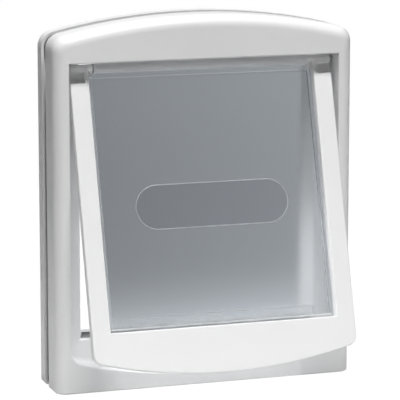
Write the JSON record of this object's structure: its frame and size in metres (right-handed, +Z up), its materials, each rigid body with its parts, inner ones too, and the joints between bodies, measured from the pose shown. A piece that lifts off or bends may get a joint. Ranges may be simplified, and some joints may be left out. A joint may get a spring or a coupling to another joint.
{
  "type": "pet door",
  "caption": "Two-way pet door with an arched frame clamped to a door leaf, an outward flap frame and an inward clear panel on one hinge rod.",
  "frame": {"origin": "middle of the front frame's rear rim, the face that lies on the door leaf", "axes": "+X along the width, +Y from the front into the door leaf, +Z up"},
  "size_m": [0.294, 0.1305, 0.352],
  "materials": {
    "white_plastic": "satin",
    "clear_plastic": "clear, faintly smoky",
    "steel": "zinc plated",
    "magnet": "sintered, dark",
    "pile": "grey pile",
    "felt": "felt"
  },
  "bodies": {
    "frame": {"front_frame": "white_plastic", "rear_frame": "white_plastic", "frame_screws": "steel", "screw_caps": "white_plastic", "sill_magnet": "magnet", "sill_pile": "pile"},
    "flap": {"flap_frame": "white_plastic", "hinge_rod": "steel", "spacer_left": "white_plastic", "spacer_right": "white_plastic", "flap_magnet": "magnet", "sill_strip": "steel", "flap_pads": "felt"},
    "panel": {"clear_panel": "clear_plastic", "panel_strip": "steel"}
  },
  "joints": [
    {"name": "flap_swing", "type": "hinge", "parent": "frame", "child": "flap", "pos_m": [0, -0.0115, 0.1283], "axis": [-1, 0, 0], "range_deg": [-16.5, 63.5]},
    {"name": "panel_swing", "type": "hinge", "parent": "flap", "child": "panel", "pos_m": [0, -0.0115, 0.1283], "axis": [1, 0, 0], "range_deg": [0, 80]}
  ]
}
